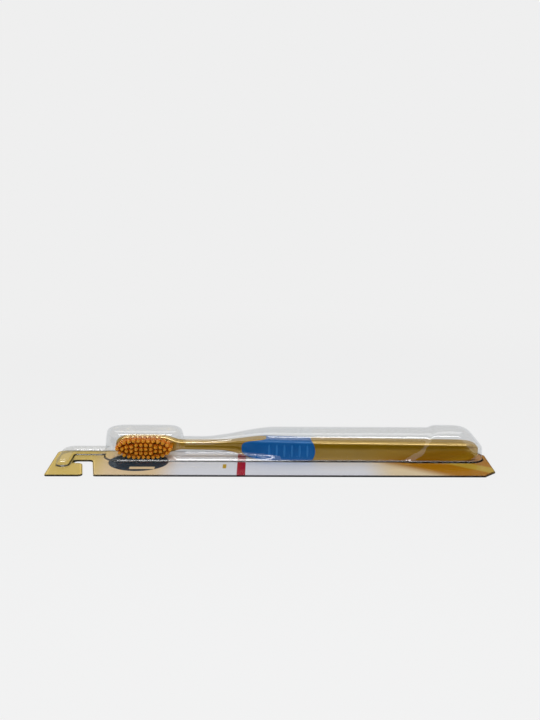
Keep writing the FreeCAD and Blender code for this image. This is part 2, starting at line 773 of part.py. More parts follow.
# How the brush lies in the pack: on its side, touching down at the widest part of the grip and at the
# start of the tail, which lifts the head a little
rest_span = f"({tail_start} - Sizes.swell_end)"
brush_tilt = f"atan((Sizes.grip_width - Sizes.handle_width) / 2 / {rest_span})"
brush_rise = f"(Sizes.swell_end * sin({brush_tilt}) + {half_grip} * cos({brush_tilt}))"
brush_place = FreeCAD.Placement(
    FreeCAD.Vector(
        value(brush_start), value(tip_plane), value(f"{card_top} + Sizes.seat_gap + {brush_rise}"),
    ),
    FreeCAD.Rotation(FreeCAD.Vector(0, 1, 0), value(brush_tilt)),
)

# Tufts: places in pitches from the middle of the field, a ring round the edge and blocks inside it
RING_SHARES = ((0, 2), (1, 2), (2, 2), (3, 1.85), (4, 1.55), (4.9, 0.95), (5.45, 0))
BLOCK_SHARES = ((0.5, 0), (0.5, 1), (1.5, 0), (1.5, 1), (2.5, 0.5), (3.5, 0.5), (4.4, 0))
FLARE_SHARE = 0.25
TUFT_SIDES = 6
ACROSS_FLATS_SHARE = math.cos(math.pi / TUFT_SIDES)
hole_diameter = "(Sizes.tuft_diameter + 2 * Sizes.tuft_gap)"
anchor_length = f"({hole_diameter} * {ACROSS_FLATS_SHARE:.6f} - 2 * Sizes.anchor_gap)"
anchor_foot = "(Sizes.anchor_floor - Sizes.tuft_hole_depth)"


def mirrored(places):
    """Every place with its mirror images along and across the head."""
    found = set()
    for x, z in places:
        for sign_x in (1, -1):
            for sign_z in (1, -1):
                found.add((x * sign_x + 0.0, z * sign_z + 0.0))
    return sorted(found)


# One tuft, drawn with its axis up and the face of the head at z = 0: a bundle tapered to its tip, with a
# window where its bristles fold round the anchor
tuft_master = doc.addObject("PartDesign::Body", "tuft_master")
tuft_outline = sketch_on(tuft_master, "tuft_outline", "XY_Plane", "-Sizes.tuft_hole_depth")
tuft_corners = []
for side in range(TUFT_SIDES):
    turn = math.pi / TUFT_SIDES * (2 * side + 1)
    x, y = f"{math.cos(turn):.6f}", f"{math.sin(turn):.6f}"
    tuft_corners.append((f"Sizes.tuft_diameter / 2 * {x}", f"Sizes.tuft_diameter / 2 * {y}"))
polygon(tuft_outline, tuft_corners)
bundle = pad(tuft_master, "tuft_bundle", tuft_outline, "Sizes.tuft_hole_depth + Sizes.tuft_length")
doc.recompute()
tip_edges = edge_names(bundle.Shape, lambda edge: edge.BoundBox.ZMin > value("Sizes.tuft_length / 2"))
taper = tuft_master.newObject("PartDesign::Chamfer", "tuft_taper")
taper.Base = (bundle, tip_edges)
taper.ChamferType = "Two distances"
taper.setExpression("Size", cell("tuft_tip_length"))
tip_inset = f"(Sizes.tuft_diameter - Sizes.tuft_tip_diameter) / 2 * {ACROSS_FLATS_SHARE:.6f}"
taper.setExpression("Size2", tip_inset)
tuft_master.Tip = taper
doc.recompute()
window = sketch_on(tuft_master, "tuft_window", "YZ_Plane", "0 * Sizes.tuft_length")
polygon(window, box_points(
    "-Sizes.anchor_thickness / 2", anchor_foot,
    "Sizes.anchor_thickness / 2", f"{anchor_foot} + Sizes.anchor_height",
))
pocket_through(tuft_master, "tuft_window_cut", window)

tufts = []
anchors = []
holes = []
for index, (x, z) in enumerate(mirrored(RING_SHARES + BLOCK_SHARES), start=1):
    along = value(cell("tuft_field_middle")) + x * value(cell("column_pitch"))
    across = z * value(cell("row_pitch"))
    flare = math.degrees(math.atan(FLARE_SHARE * across / value(cell("tuft_length"))))
    root = FreeCAD.Placement(
        FreeCAD.Vector(along, value(cell("tuft_length")), across),
        FreeCAD.Rotation(FreeCAD.Vector(1, 0, 0), 90 - flare),
    )
    hole = doc.addObject("Part::Prism", f"tuft_hole_{index:02d}")
    hole.Polygon = TUFT_SIDES
    hole.setExpression("Circumradius", f"{hole_diameter} / 2")
    hole.setExpression("Height", "Sizes.tuft_hole_depth + Sizes.overrun")
    hole_foot = FreeCAD.Placement(
        FreeCAD.Vector(0, 0, -value(cell("tuft_hole_depth"))),
        FreeCAD.Rotation(FreeCAD.Vector(0, 0, 1), 180 / TUFT_SIDES),
    )
    hole.Placement = root.multiply(hole_foot)
    holes.append(hole)

    tuft = doc.addObject("Part::Compound", f"tuft_{index:02d}")
    tuft.Links = [tuft_master]
    tuft.Placement = brush_place.multiply(root)
    tufts.append(tuft)

    anchor = doc.addObject("Part::Box", f"tuft_anchor_{index:02d}")
    anchor.setExpression("Length", anchor_length)
    anchor.setExpression("Width", cell("anchor_thickness"))
    anchor.setExpression("Height", cell("anchor_height"))
    seat = FreeCAD.Vector(
        -value(anchor_length) / 2, -value(cell("anchor_thickness")) / 2, value(anchor_foot),
    )
    anchor.Placement = brush_place.multiply(root).multiply(FreeCAD.Placement(seat, FreeCAD.Rotation()))
    anchors.append(anchor)

hole_set = doc.addObject("Part::Compound", "tuft_holes")
hole_set.Links = holes
drilled = boolean("Cut", "drilled_blank", blank, hole_set)
recess = boolean("Cut", "grip_recess", zone, core)
handle = boolean("Cut", "handle", drilled, recess)
sleeve = boolean("Common", "grip_sleeve", blank, zone)
ribs = boolean("Common", "grip_ribs", proud, rib_stack)
ribbed = boolean("Fuse", "ribbed_sleeve", sleeve, ribs)
grip = boolean("Cut", "grip", ribbed, core)
handle.Placement = brush_place
grip.Placement = brush_place
anchor_set = doc.addObject("Part::Compound", "tuft_anchors")
anchor_set.Links = anchors
doc.recompute()

# Every sub-part, checked and written under its own name
nodes = {"backing_card": card, "blister": blister, "handle": handle, "grip": grip, "tuft_anchors": anchor_set}
nodes.update((tuft.Name, tuft) for tuft in tufts)
failed = [item.Name for item in doc.Objects if "Invalid" in item.State or "Error" in item.State]
if failed:
    raise RuntimeError(f"failed objects: {failed}")
for name, item in nodes.items():
    if item.Shape.isNull() or not item.Shape.isValid():
        raise RuntimeError(f"{name} has no valid shape")
    item.Label = name
os.makedirs("parts", exist_ok=True)
for name, item in nodes.items():
    item.Shape.exportStep(f"parts/{name}.step")
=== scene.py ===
import math
import random

import bmesh
import bpy
from mathutils import Matrix, Vector


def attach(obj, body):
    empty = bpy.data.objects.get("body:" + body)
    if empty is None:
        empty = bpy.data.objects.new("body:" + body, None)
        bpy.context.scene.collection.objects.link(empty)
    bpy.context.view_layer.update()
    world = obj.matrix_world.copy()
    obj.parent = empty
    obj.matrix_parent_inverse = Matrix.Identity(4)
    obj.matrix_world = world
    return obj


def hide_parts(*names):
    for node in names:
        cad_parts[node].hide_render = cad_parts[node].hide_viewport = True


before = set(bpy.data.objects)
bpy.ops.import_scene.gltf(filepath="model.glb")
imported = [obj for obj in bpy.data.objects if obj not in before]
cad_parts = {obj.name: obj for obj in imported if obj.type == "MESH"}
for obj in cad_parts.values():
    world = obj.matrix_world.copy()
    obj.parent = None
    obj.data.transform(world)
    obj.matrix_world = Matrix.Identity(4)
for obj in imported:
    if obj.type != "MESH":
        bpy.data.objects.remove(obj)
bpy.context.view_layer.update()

# Backing card: solid bleached board, offset printed and varnished on its upper face, then die-cut with
# a side-entry hang slot. It lies flat on the table and carries the film.
PRINT_GOLD = (0.55, 0.35, 0.04)
PRINT_PALE_GOLD = (0.78, 0.55, 0.14)
PRINT_PEACH = (0.86, 0.63, 0.37)
PRINT_LILAC = (0.80, 0.79, 0.83)
PRINT_CREAM = (0.84, 0.66, 0.42)
PRINT_AMBER = (0.44, 0.175, 0.001)
PRINT_RED = (0.40, 0.006, 0.025)
PRINT_SLATE = (0.030, 0.046, 0.062)
BOARD_WHITE = (0.62, 0.60, 0.56)
# The cut edge's near black is partly the edge's own dark and partly painted shade.
CUT_EDGE_DARK_AND_SHADE = (0.006, 0.007, 0.008)
# Places of the colour fields along and across the card, and their soft edges, in metres. The slant and
# the disc's soft edge are shares.
PEACH_FADE, LILAC_FADE, CREAM_FADE = (-0.094, -0.078), (-0.060, -0.044), (0.044, 0.062)
SLANT, AMBER_FADE, PATCH_BAND, PATCH_SOFT = 1.4, (0.050, 0.068), (0.088, 0.101), 0.002
RED_BAND, RED_SOFT = (-0.0170, -0.0128), 0.0001
TAB_ALONG, TAB_ACROSS, TAB_SOFT = (-0.0242, -0.0224), (-0.0085, -0.0022), 0.0001
DISC_MIDDLE, DISC_RADII, DISC_SOFT = (-0.067, 0.0013), (0.0152, 0.0142), 0.04
STRIPE_ALONG, STRIPE_ACROSS, STRIPE_SOFT = (-0.0705, -0.0580), (-0.0098, -0.0064), 0.0002


def new_material(name):
    """A material with its node tree emptied, and that tree."""
    material = bpy.data.materials.new(name)
    material.use_nodes = True
    tree = material.node_tree
    tree.nodes.clear()
    return material, tree


def add_node(tree, kind, **settings):
    """A node of one kind, with its plain settings."""
    node = tree.nodes.new(kind)
    for setting, number in settings.items():
        setattr(node, setting, number)
    return node


def opaque_surface(tree):
    """A principled surface joined to the material's output."""
    surface = add_node(tree, "ShaderNodeBsdfPrincipled")
    output = add_node(tree, "ShaderNodeOutputMaterial")
    tree.links.new(surface.outputs["BSDF"], output.inputs["Surface"])
    return surface


def object_axes(tree):
    """The object coordinates of the surface, whole and as one socket for each axis."""
    place = add_node(tree, "ShaderNodeTexCoord")
    axes = add_node(tree, "ShaderNodeSeparateXYZ")
    tree.links.new(place.outputs["Object"], axes.inputs["Vector"])
    return place.outputs["Object"], axes


def ramp_between(tree, socket, low, high):
    """Nought to one as a value climbs smoothly from low to high."""
    ramp = add_node(tree, "ShaderNodeMapRange", interpolation_type="SMOOTHSTEP")
    ramp.inputs["From Min"].default_value = low
    ramp.inputs["From Max"].default_value = high
    tree.links.new(socket, ramp.inputs["Value"])
    return ramp.outputs["Result"]


def combine(tree, operation, first, second):
    """Two values joined by a sum, product or the like; the second is a socket or a number."""
    joined = add_node(tree, "ShaderNodeMath", operation=operation)
    tree.links.new(first, joined.inputs[0])
    if isinstance(second, (int, float)):
        joined.inputs[1].default_value = second
    else:
        tree.links.new(second, joined.inputs[1])
    return joined.outputs["Value"]


def blend_colour(tree, factor, first, second):
    """One colour over another by a factor; each colour is a socket or three numbers."""
    blend = add_node(tree, "ShaderNodeMix", data_type="RGBA")
    tree.links.new(factor, blend.inputs["Factor"])
    for socket, colour in zip((blend.inputs[6], blend.inputs[7]), (first, second)):
        if isinstance(colour, tuple):
            socket.default_value = (*colour, 1)
        else:
            tree.links.new(colour, socket)
    return blend.outputs[2]


def fine_noise(tree, place, scale, detail):
    """Noise over the surface, at a scale in cycles per metre."""
    noise = add_node(tree, "ShaderNodeTexNoise")
    noise.inputs["Scale"].default_value = scale
    noise.inputs["Detail"].default_value = detail
    tree.links.new(place, noise.inputs["Vector"])
    return noise.outputs["Fac"]


def bump_from(tree, height, strength, distance):
    """A bump of the surface from a height."""
    bump = add_node(tree, "ShaderNodeBump")
    bump.inputs["Strength"].default_value = strength
    bump.inputs["Distance"].default_value = distance
    tree.links.new(height, bump.inputs["Height"])
    return bump.outputs["Normal"]


def band(tree, socket, low, high, soft):
    """One between low and high, fading out over a soft edge on either side."""
    rise = ramp_between(tree, socket, low - soft, low + soft)
    fall = ramp_between(tree, socket, high + soft, high - soft)
    return combine(tree, "MULTIPLY", rise, fall)


def block(tree, along, across, along_band, across_band, soft):
    """One inside an upright rectangle and nought outside it."""
    lengthwise = band(tree, along, *along_band, soft)
    return combine(tree, "MULTIPLY", lengthwise, band(tree, across, *across_band, soft))


def oval(tree, along, across, middle, radii, soft):
    """One inside an upright oval and nought outside it."""
    parts = []
    for socket, centre, radius in zip((along, across), middle, radii):
        share = combine(tree, "DIVIDE", combine(tree, "SUBTRACT", socket, centre), radius)
        parts.append(combine(tree, "MULTIPLY", share, share))
    away = combine(tree, "ADD", *parts)
    return ramp_between(tree, away, 1 + soft, 1 - soft)


def printed_board():
    """The card's finish: colour fields on the face, white board below, and near-black cut edges, partly the
    edge's own dark and partly painted shade of the shadow along it.
    """
    material, tree = new_material("printed_board")
    surface = opaque_surface(tree)
    place, axes = object_axes(tree)
    along, across = axes.outputs["X"], axes.outputs["Y"]
    face = blend_colour(tree, ramp_between(tree, along, *PEACH_FADE), PRINT_PALE_GOLD, PRINT_PEACH)
    face = blend_colour(tree, ramp_between(tree, along, *LILAC_FADE), face, PRINT_LILAC)
    face = blend_colour(tree, ramp_between(tree, along, *CREAM_FADE), face, PRINT_CREAM)
    slanting = combine(tree, "ADD", along, combine(tree, "MULTIPLY", across, SLANT))
    face = blend_colour(tree, ramp_between(tree, slanting, *AMBER_FADE), face, PRINT_AMBER)
    face = blend_colour(tree, band(tree, slanting, *PATCH_BAND, PATCH_SOFT), face, PRINT_GOLD)
    face = blend_colour(tree, band(tree, along, *RED_BAND, RED_SOFT), face, PRINT_RED)
    tab = block(tree, along, across, TAB_ALONG, TAB_ACROSS, TAB_SOFT)
    face = blend_colour(tree, tab, face, PRINT_GOLD)
    disc = oval(tree, along, across, DISC_MIDDLE, DISC_RADII, DISC_SOFT)
    face = blend_colour(tree, disc, face, PRINT_SLATE)
    stripe = block(tree, along, across, STRIPE_ALONG, STRIPE_ACROSS, STRIPE_SOFT)
    face = blend_colour(tree, combine(tree, "MULTIPLY", disc, stripe), face, PRINT_PEACH)
    facing = add_node(tree, "ShaderNodeSeparateXYZ")
    geometry = add_node(tree, "ShaderNodeNewGeometry")
    tree.links.new(geometry.outputs["Normal"], facing.inputs["Vector"])
    upward = facing.outputs["Z"]
    # Cut edges near black: partly their own dark, partly painted shade of the shadow along them.
    sides = blend_colour(tree, ramp_between(tree, upward, -0.6, -0.4), BOARD_WHITE, CUT_EDGE_DARK_AND_SHADE)
    colour = blend_colour(tree, ramp_between(tree, upward, 0.4, 0.6), sides, face)
    tree.links.new(colour, surface.inputs["Base Color"])
    surface.inputs["Roughness"].default_value = 0.5
    surface.inputs["Specular IOR Level"].default_value = 0.05
    fibres = fine_noise(tree, place, 2600, 2)
    tree.links.new(bump_from(tree, fibres, 0.2, 0.0001), surface.inputs["Normal"])
    return material


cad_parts["backing_card"].data.materials.clear()
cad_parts["backing_card"].data.materials.append(printed_board())

# Handle: head plate, neck and handle in one injection moulding of opaque pearl-gold plastic. It lies on
# its side in the film, lowest at the widest part of the grip and at the tail.
MILLIMETRE = 0.001
GOLD_DEEP, GOLD, GOLD_FLAKE = (0.32, 0.170, 0.001), (0.37, 0.197, 0.002), (0.45, 0.26, 0.007)
PEARL_GLINT = (1, 0.84, 0.50)
CARD_TOP, SEAT_GAP = 0.7, 0.15
BRUSH_LENGTH = 185
HEAD = (11, 4, 10.2)
NECK = (10.8, 4.6, 4.9)
GRIP = (6.1, 9.4, 11.3)
HANDLE = (5.2, 8.6, 9.9)
HEAD_ROUND_END, HEAD_TAPER_START, HEAD_TAPER_END = 8.8, 23.5, 34
SWELL_START, SWELL_END, GRIP_FIRST, GRIP_LAST, TAIL_START = 54, 77, 64.6, 101.9, 173
GRIP_END_SHARE, TAIL_END_SHARE = 0.6, 0.985
HEAD_END_POWER, HEAD_END_THINNING, THINNING_POWER, TAIL_POWER = 2.2, 0.35, 6, 3
HEAD_SQUARENESS, HANDLE_SQUARENESS = 3, 7
SECTION_SIDES, FIRST_RING = 40, 0.05
HEAD_RINGS, HEAD_CROWDING, TAIL_RINGS, TAIL_CROWDING = 8, 1.6, 10, 1.7
BRUSH_TILT = math.atan((GRIP[2] - HANDLE[2]) / 2 / (TAIL_START - SWELL_END))
BRUSH_RISE = SWELL_END * math.sin(BRUSH_TILT) + GRIP[2] / 2 * math.cos(BRUSH_TILT)
BRUSH_START = Vector((-79.6, 0.5, CARD_TOP + SEAT_GAP + BRUSH_RISE))
brush_place = Matrix.Translation(BRUSH_START) @ Matrix.Rotation(BRUSH_TILT, 4, "Y")


def ease(share):
    """A share with a soft start and end, held between nought and one."""
    held = min(1, max(0, share))
    return held * held * (3 - 2 * held)


def mixed(first, second, share):
    """Sizes part of the way from one section to another."""
    return tuple(low + (high - low) * share for low, high in zip(first, second))


def brush_section(station):
    """Depth of the middle, thickness and width of the brush at a station along it."""
    if station < HEAD_ROUND_END:
        left = 1 - station / HEAD_ROUND_END
        round_share = (1 - left ** HEAD_END_POWER) ** (1 / HEAD_END_POWER)
        edge_share = 1 - HEAD_END_THINNING * left ** THINNING_POWER
        return HEAD[0], HEAD[1] * edge_share, HEAD[2] * round_share
    if station < HEAD_TAPER_END:
        return mixed(HEAD, NECK, ease((station - HEAD_TAPER_START) / (HEAD_TAPER_END - HEAD_TAPER_START)))
    if station < SWELL_END:
        return mixed(NECK, GRIP, ease((station - SWELL_START) / (SWELL_END - SWELL_START)))
    if station < GRIP_LAST:
        return mixed(GRIP, HANDLE, GRIP_END_SHARE * (station - SWELL_END) / (GRIP_LAST - SWELL_END))
    run = min(1, (station - GRIP_LAST) / (TAIL_START - GRIP_LAST))
    depth, thickness, width = mixed(GRIP, HANDLE, GRIP_END_SHARE + (1 - GRIP_END_SHARE) * run)
    if station > TAIL_START:
        along = TAIL_END_SHARE * (station - TAIL_START) / (BRUSH_LENGTH - TAIL_START)
        end_share = (1 - along ** TAIL_POWER) ** (1 / TAIL_POWER)
        thickness, width = thickness * end_share, width * end_share
    return depth, thickness, width


def section_ring(bm, station, outset, sides):
    """The edges of one ring round the brush, rounder at the head and squarer at the handle."""
    depth, thickness, width = brush_section(station)
    share = ease((station - HEAD_TAPER_START) / (SWELL_END - HEAD_TAPER_START))
    power = 2 / (HEAD_SQUARENESS + (HANDLE_SQUARENESS - HEAD_SQUARENESS) * share)
    ring = bmesh.ops.create_circle(bm, segments=sides, radius=1)["verts"]
    for vert in ring:
        reach = [math.copysign(abs(part) ** power, part) for part in vert.co[:2]]
        y = depth + reach[0] * (thickness / 2 + outset)
        vert.co = (station, y, reach[1] * (width / 2 + outset))
    return list({edge for vert in ring for edge in vert.link_edges})


def bridged_rings(bm, stations, outset, sides):
    """A skin over rings at all the stations."""
    rings = [section_ring(bm, station, outset, sides) for station in stations]
    for first, second in zip(rings, rings[1:]):
        bmesh.ops.bridge_loops(bm, edges=first + second)


def spread(first, last, count):
    """Evenly spaced stations from first to last."""
    return [first + (last - first) * step / count for step in range(count + 1)]


def piece_from(bm, name, material, body, slot, *nodes):
    """A finished piece from a mesh drawn in millimetres: riding on its body in place of its nodes."""
    bmesh.ops.scale(bm, vec=(MILLIMETRE,) * 3, verts=bm.verts)
    mesh = bpy.data.meshes.new(name)
    bm.to_mesh(mesh)
    bm.free()
    for polygon in mesh.polygons:
        polygon.use_smooth = True
    mesh.materials.append(material)
    piece = bpy.data.objects.new(name, mesh)
    bpy.context.scene.collection.objects.link(piece)
    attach(piece, body)
    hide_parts(*nodes)
    return piece


def gold_plastic():
    """Pearl-gold polypropylene: fine flake in the colour and a strong, warm moulded gloss."""
    material, tree = new_material("pearl_gold_plastic")
    surface = opaque_surface(tree)
    place, _ = object_axes(tree)
    flow = fine_noise(tree, place, 90, 2)
    flake = fine_noise(tree, place, 5200, 1)
    colour = blend_colour(tree, flow, GOLD_DEEP, GOLD)
    colour = blend_colour(tree, ramp_between(tree, flake, 0.55, 0.75), colour, GOLD_FLAKE)
    tree.links.new(colour, surface.inputs["Base Color"])
    surface.inputs["Metallic"].default_value = 0.25
    surface.inputs["Roughness"].default_value = 0.12
    surface.inputs["IOR"].default_value = 2.9
    surface.inputs["Specular Tint"].default_value = (*PEARL_GLINT, 1)
    tree.links.new(bump_from(tree, flake, 0.05, 0.00005), surface.inputs["Normal"])
    return material


handle = bmesh.new()
handle_stations = [FIRST_RING]
for step in range(1, HEAD_RINGS + 1):
    handle_stations.append(HEAD_ROUND_END * (step / HEAD_RINGS) ** HEAD_CROWDING)
handle_stations += spread(HEAD_ROUND_END + 5, HEAD_TAPER_START, 2)
handle_stations += spread(HEAD_TAPER_START + 1, HEAD_TAPER_END, 8)
handle_stations += spread(HEAD_TAPER_END + 5, SWELL_START, 3)
handle_stations += spread(SWELL_START + 2, SWELL_END, 10)
handle_stations += spread(SWELL_END + 8, TAIL_START, 10)
tail_length = BRUSH_LENGTH - TAIL_START
for step in range(1, TAIL_RINGS + 1):
    handle_stations.append(BRUSH_LENGTH - tail_length * (1 - step / TAIL_RINGS) ** TAIL_CROWDING)
bridged_rings(handle, handle_stations, 0, SECTION_SIDES)
bmesh.ops.holes_fill(handle, edges=[edge for edge in handle.edges if edge.is_boundary])
bmesh.ops.recalc_face_normals(handle, faces=handle.faces)
bmesh.ops.transform(handle, matrix=brush_place, verts=handle.verts)
moulding = piece_from(handle, "handle_moulding", gold_plastic(), "brush", "gold_plastic", "handle")
smoother = moulding.modifiers.new("moulded_surface", "SUBSURF")
smoother.levels = smoother.render_levels = 1

# Grip: blue thermoplastic rubber moulded over the handle as a thin sleeve with a bullet nose. Six low
# ribs cross its front, where the thumb rests.
BLUE_DEEP, BLUE, BLUE_RIB_HIGHLIGHT_AND_WEAR = (0.002, 0.090, 0.320), (0.003, 0.115, 0.390), (0.020, 0.170, 0.480)
BLUE_GLINT = (0.45, 0.75, 1)
GRIP_PROUD, SLEEVE_WALL = 0.08, 0.0004
SLEEVE_RINGS, SLEEVE_SIDES, SLEEVE_SPARE = 48, 64, 0.5
NOSE_LENGTH, NOSE_HALF_WIDTH, NOSE_POWER, NOSE_CUTS, NOSE_CROWDING = 11, 5.5, 0.28, 10, 2.2
END_BULGE, END_HALF_WIDTH, END_CUTS, END_CUT_TURN = 6, 7.2, 6, 9
RIB_COUNT, RIB_PITCH, RIB_HALF_WIDTH, RIB_HALF_LENGTH, RIB_RISE = 6, 3.86, 0.6, 3.3, 0.36
RIB_END_MARGIN = 4


def blue_rubber():
    """Soft blue rubber: satin, with the fine grain of a sparked mould, and paler on the ribs, partly a
    painted highlight and partly stress whitening.
    """
    material, tree = new_material("blue_grip_rubber")
    surface = opaque_surface(tree)
    place, _ = object_axes(tree)
    cloud = fine_noise(tree, place, 120, 3)
    colour = blend_colour(tree, cloud, BLUE_DEEP, BLUE)
    # The ribs are painted paler: partly a painted highlight, partly stress whitening.
    rib = add_node(tree, "ShaderNodeAttribute", attribute_name="rib")
    colour = blend_colour(tree, rib.outputs["Fac"], colour, BLUE_RIB_HIGHLIGHT_AND_WEAR)
    tree.links.new(colour, surface.inputs["Base Color"])
    surface.inputs["Roughness"].default_value = 0.24
    surface.inputs["IOR"].default_value = 1.65
    surface.inputs["Specular Tint"].default_value = (*BLUE_GLINT, 1)
    grain = fine_noise(tree, place, 6400, 2)
    tree.links.new(bump_from(tree, grain, 0.15, 0.00006), surface.inputs["Normal"])
    return material


def trim(bm, spot, outward):
    """Cut away what lies beyond a plane through a spot."""
    everything = bm.verts[:] + bm.edges[:] + bm.faces[:]
    bmesh.ops.bisect_plane(
        bm, geom=everything, dist=0.00001, plane_co=spot, plane_no=outward, clear_outer=True,
    )


grip = bmesh.new()
sleeve_stations = spread(GRIP_FIRST - SLEEVE_SPARE, GRIP_LAST + SLEEVE_SPARE, SLEEVE_RINGS)
bridged_rings(grip, sleeve_stations, GRIP_PROUD, SLEEVE_SIDES)
bmesh.ops.recalc_face_normals(grip, faces=grip.faces)
trim(grip, (GRIP_FIRST, 0, 0), (-1, 0, 0))
trim(grip, (GRIP_LAST, 0, 0), (1, 0, 0))
for step in range(NOSE_CUTS):
    run = NOSE_LENGTH * ((step + 0.5) / NOSE_CUTS) ** NOSE_CROWDING
    half_width = NOSE_HALF_WIDTH * (run / NOSE_LENGTH) ** NOSE_POWER
    slope = NOSE_POWER * half_width / run
    for side in (1, -1):
        trim(grip, (GRIP_FIRST + run, 0, side * half_width), (-slope, 0, side))
for step in range(1, END_CUTS + 1):
    turn = math.radians(END_CUT_TURN * step)
    reach = GRIP_LAST - END_BULGE * (1 - math.cos(turn))
    for side in (1, -1):
        spot = (reach, 0, side * END_HALF_WIDTH * math.sin(turn))
        trim(grip, spot, (math.cos(turn) / END_BULGE, 0, side * math.sin(turn) / END_HALF_WIDTH))
# Marks the ribs for their paler colour, partly painted highlight.
rib_highlight_layer = grip.verts.layers.float.new("rib")
for step in range(RIB_COUNT):
    station = GRIP_LAST - RIB_END_MARGIN - step * RIB_PITCH
    depth, thickness, _ = brush_section(station)
    rib = bmesh.ops.create_uvsphere(grip, u_segments=16, v_segments=10, radius=1)["verts"]
    bmesh.ops.scale(grip, vec=(RIB_HALF_WIDTH, RIB_RISE, RIB_HALF_LENGTH), verts=rib)
    bmesh.ops.translate(grip, vec=(station, depth - thickness / 2 - GRIP_PROUD, 0), verts=rib)
    for vert in rib:
        vert[rib_highlight_layer] = 1
bmesh.ops.transform(grip, matrix=brush_place, verts=grip.verts)
soft_grip = piece_from(grip, "soft_grip", blue_rubber(), "brush", "blue_rubber", "grip")
sleeve_wall = soft_grip.modifiers.new("sleeve_wall", "SOLIDIFY")
sleeve_wall.thickness = SLEEVE_WALL
sleeve_wall.offset = -1

# Anchors: thin brass slips punched from strip, one driven across the fold of each tuft to wedge it in
# its hole.
BRASS, TARNISHED_BRASS = (0.72, 0.50, 0.16), (0.46, 0.30, 0.09)


def anchor_brass():
    """Rolled brass with a little tarnish."""
    material, tree = new_material("anchor_brass")
    surface = opaque_surface(tree)
    place, _ = object_axes(tree)
    tarnish = fine_noise(tree, place, 900, 3)
    colour = blend_colour(tree, tarnish, BRASS, TARNISHED_BRASS)
    tree.links.new(colour, surface.inputs["Base Color"])
    surface.inputs["Metallic"].default_value = 1
    surface.inputs["Roughness"].default_value = 0.3
    return material


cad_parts["tuft_anchors"].data.materials.clear()
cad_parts["tuft_anchors"].data.materials.append(anchor_brass())

# Tufts: each a bundle of orange nylon bristles, folded in half and set in its own hole. The bundles
# are pointed, and their short outer bristles lean out and fill the field between them.
# Deeper orange at the roots is painted shade and paler tips are painted light; the mixed tone falls at
# random.
ORANGE_ROOT_SHADE, ORANGE_TIP_LIGHT, ORANGE_MIXED = (1.0, 0.320, 0.003), (1.0, 0.48, 0.035), (1.0, 0.42, 0.020)
TIP_FADE = (0.0042, 0.0008)
TUFT_LENGTH, TUFT_RADIUS, TUFT_TIP, TUFT_ROOT = 9, 0.95, 0.6, 1.4
BRISTLE_RADIUS, BRISTLE_TIP_RADIUS = 0.24, 0.15
TURN_WANDER, SPLAY_WANDER, LENGTH_WANDER = 0.12, 0.07, 0.2
# For each ring of a bundle: its share of the radius, its count, how far it leans out and how short it is
BRISTLE_RINGS = ((0, 1, 0, 0), (0.38, 6, 0.1, 0.3), (0.74, 12, 0, 1.2), (0.74, 12, 0.5, 3.4))
TUFT_FIELD_MIDDLE, COLUMN_PITCH, ROW_PITCH = 15, 2.45, 1.9
FLARE_SHARE, WANDER_SEED = 0.14, 46
RING_SHARES = ((0, 2), (1, 2), (2, 2), (3, 1.85), (4, 1.55), (4.9, 0.95), (5.45, 0))
BLOCK_SHARES = ((0.5, 0), (0.5, 1), (1.5, 0), (1.5, 1), (2.5, 0.5), (3.5, 0.5), (4.4, 0))


def orange_nylon():
    """Dyed nylon: deeper orange towards the root as painted shade in the bundle, paler at the tips as
    painted light.
    """
    material, tree = new_material("orange_nylon")
    surface = opaque_surface(tree)
    place, axes = object_axes(tree)
    # Painted shade and light along the bundle: deep orange at the root, paler at the tips.
    towards_tip = ramp_between(tree, axes.outputs["Y"], *TIP_FADE)
    vary = fine_noise(tree, place, 700, 1)
    colour = blend_colour(tree, towards_tip, ORANGE_ROOT_SHADE, ORANGE_TIP_LIGHT)
    colour = blend_colour(tree, ramp_between(tree, vary, 0.55, 0.75), colour, ORANGE_MIXED)
    tree.links.new(colour, surface.inputs["Base Color"])
    surface.inputs["Roughness"].default_value = 0.32
    return material


def add_bristle(bm, turn, reach, splay, shorter):
    """One bristle: a shaft with a narrowed end, standing at a place in the bundle and leaning out of it."""
    shaft_length = TUFT_LENGTH - TUFT_TIP - shorter
    shaft = bmesh.ops.create_cone(
        bm, cap_ends=True, segments=6, radius1=BRISTLE_RADIUS, radius2=BRISTLE_RADIUS,
        depth=shaft_length + TUFT_ROOT,
    )["verts"]
    bmesh.ops.translate(bm, vec=(0, 0, (shaft_length - TUFT_ROOT) / 2), verts=shaft)
    top = [vert for vert in shaft if vert.co.z > 0]
    cap = next(face for face in top[0].link_faces if all(vert in top for vert in face.verts))
    drawn = bmesh.ops.extrude_face_region(bm, geom=[cap])["geom"]
    tip = [item for item in drawn if isinstance(item, bmesh.types.BMVert)]
    bmesh.ops.translate(bm, vec=(0, 0, TUFT_TIP), verts=tip)
    tip_share = BRISTLE_TIP_RADIUS / BRISTLE_RADIUS
    bmesh.ops.scale(bm, vec=(tip_share, tip_share, 1), verts=tip)
    foot = Vector((reach * math.cos(turn), reach * math.sin(turn), 0))
    bmesh.ops.translate(bm, vec=foot, verts=shaft + tip)
    bmesh.ops.translate(bm, vec=foot * splay, verts=top + tip)


def mirrored(places):
    """Every place with its mirror images along and across the head."""
    found = set()
    for x, z in places:
        for sign_x in (1, -1):
            for sign_z in (1, -1):
                found.add((x * sign_x + 0.0, z * sign_z + 0.0))
    return sorted(found)


